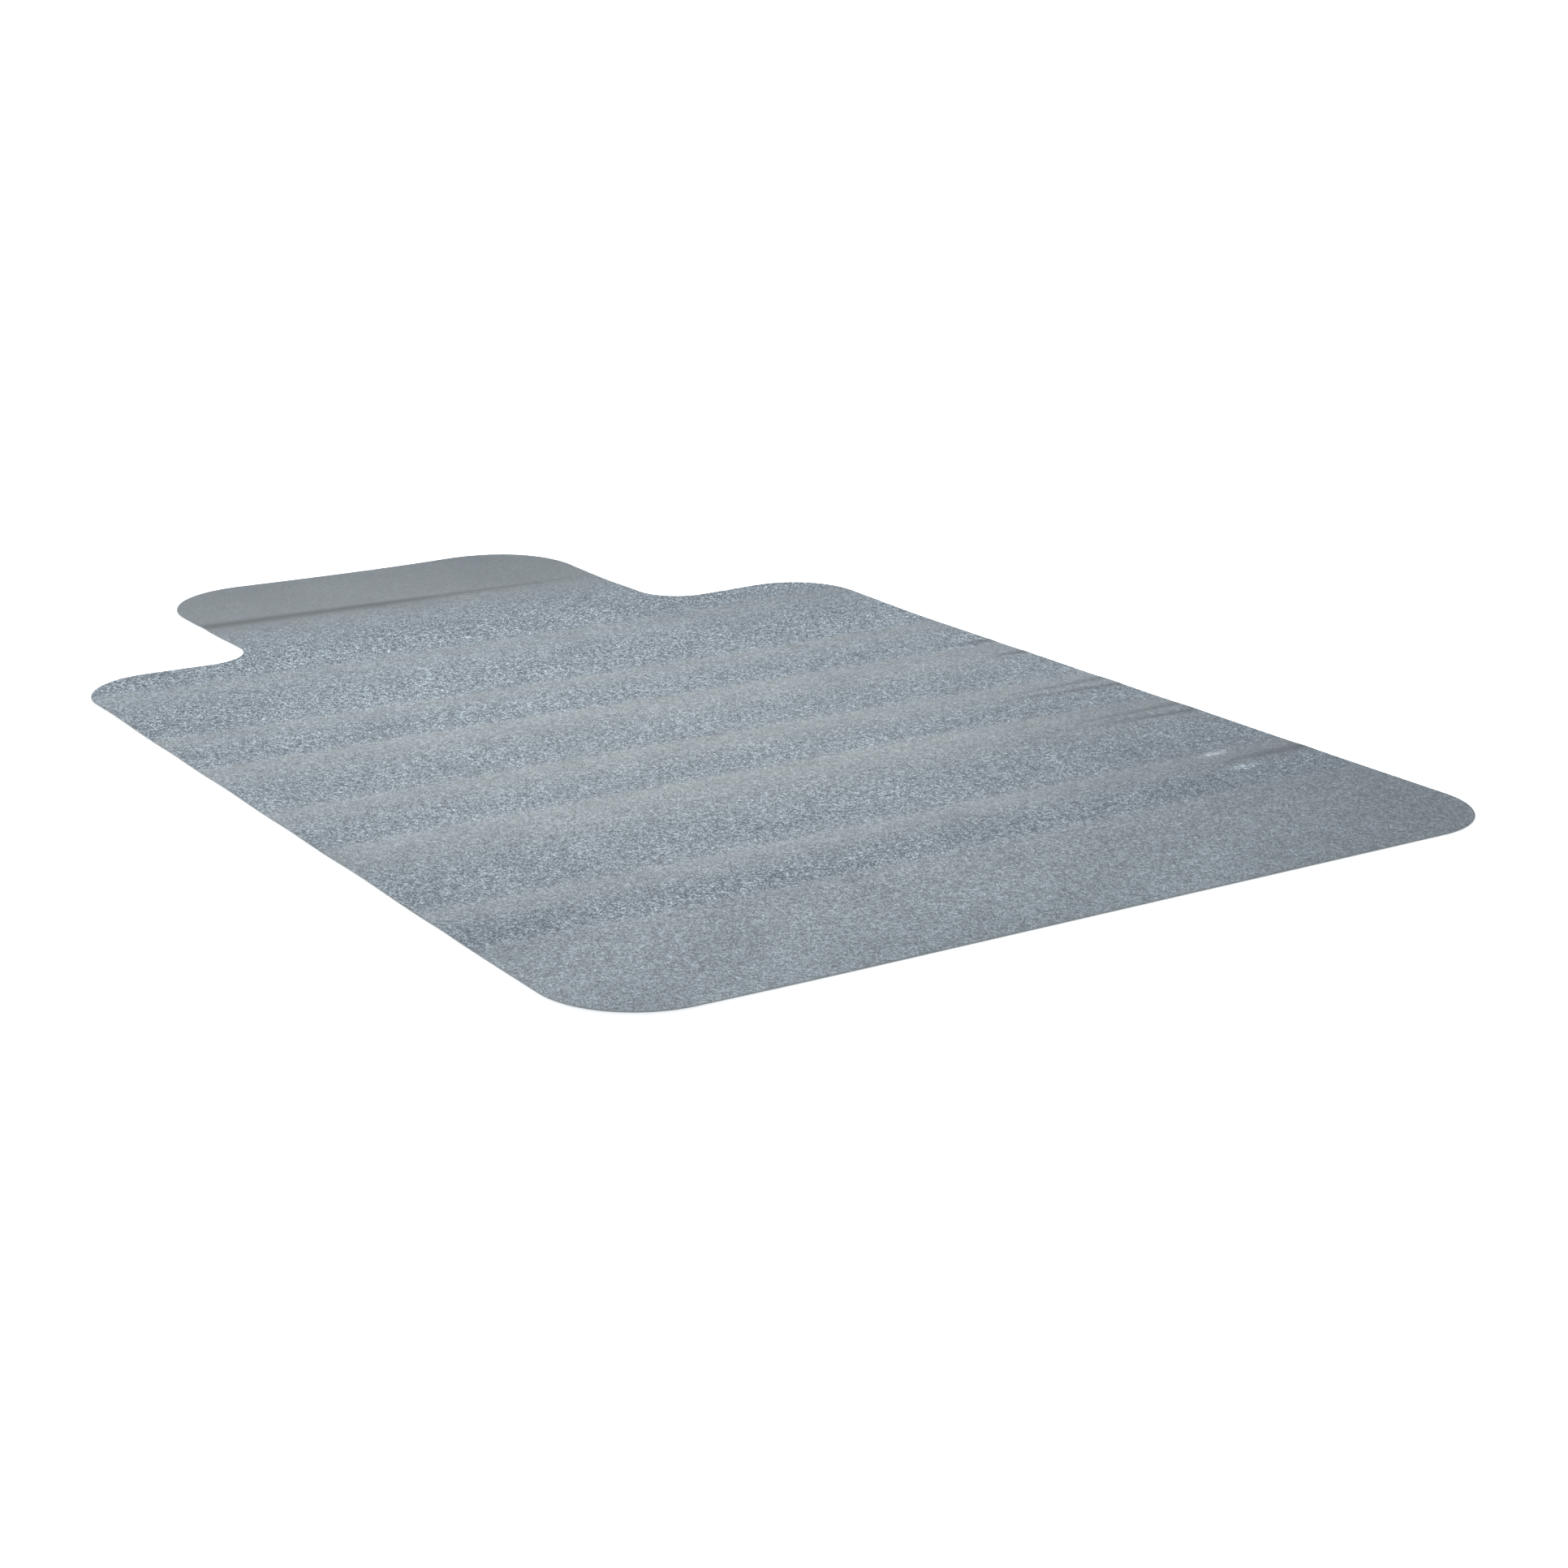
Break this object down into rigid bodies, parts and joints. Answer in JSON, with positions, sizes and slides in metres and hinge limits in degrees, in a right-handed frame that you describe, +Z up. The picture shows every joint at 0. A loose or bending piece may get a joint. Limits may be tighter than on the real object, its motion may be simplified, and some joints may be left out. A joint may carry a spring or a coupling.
{
  "type": "chair mat",
  "caption": "Flat lipped floor mat for a desk chair: a thin embossed vinyl sheet with rounded corners and a narrower lip, bonded to a slip-resistant backing.",
  "frame": {"origin": "centre of the overall outline, on the floor under the mat", "axes": "+Y towards the lip, +X across the mat's width, +Z up out of the face that the casters roll on"},
  "size_m": [0.762, 1.2192, 0.0015],
  "materials": {
    "embossed_vinyl": "translucent blue-grey flexible vinyl, satin gloss over a fine random pebble emboss",
    "backing_vinyl": "matt grey flexible vinyl with a faint leathery grain"
  },
  "bodies": {
    "root": {"wear_sheet": "embossed_vinyl", "grip_backing": "backing_vinyl"}
  },
  "joints": []
}
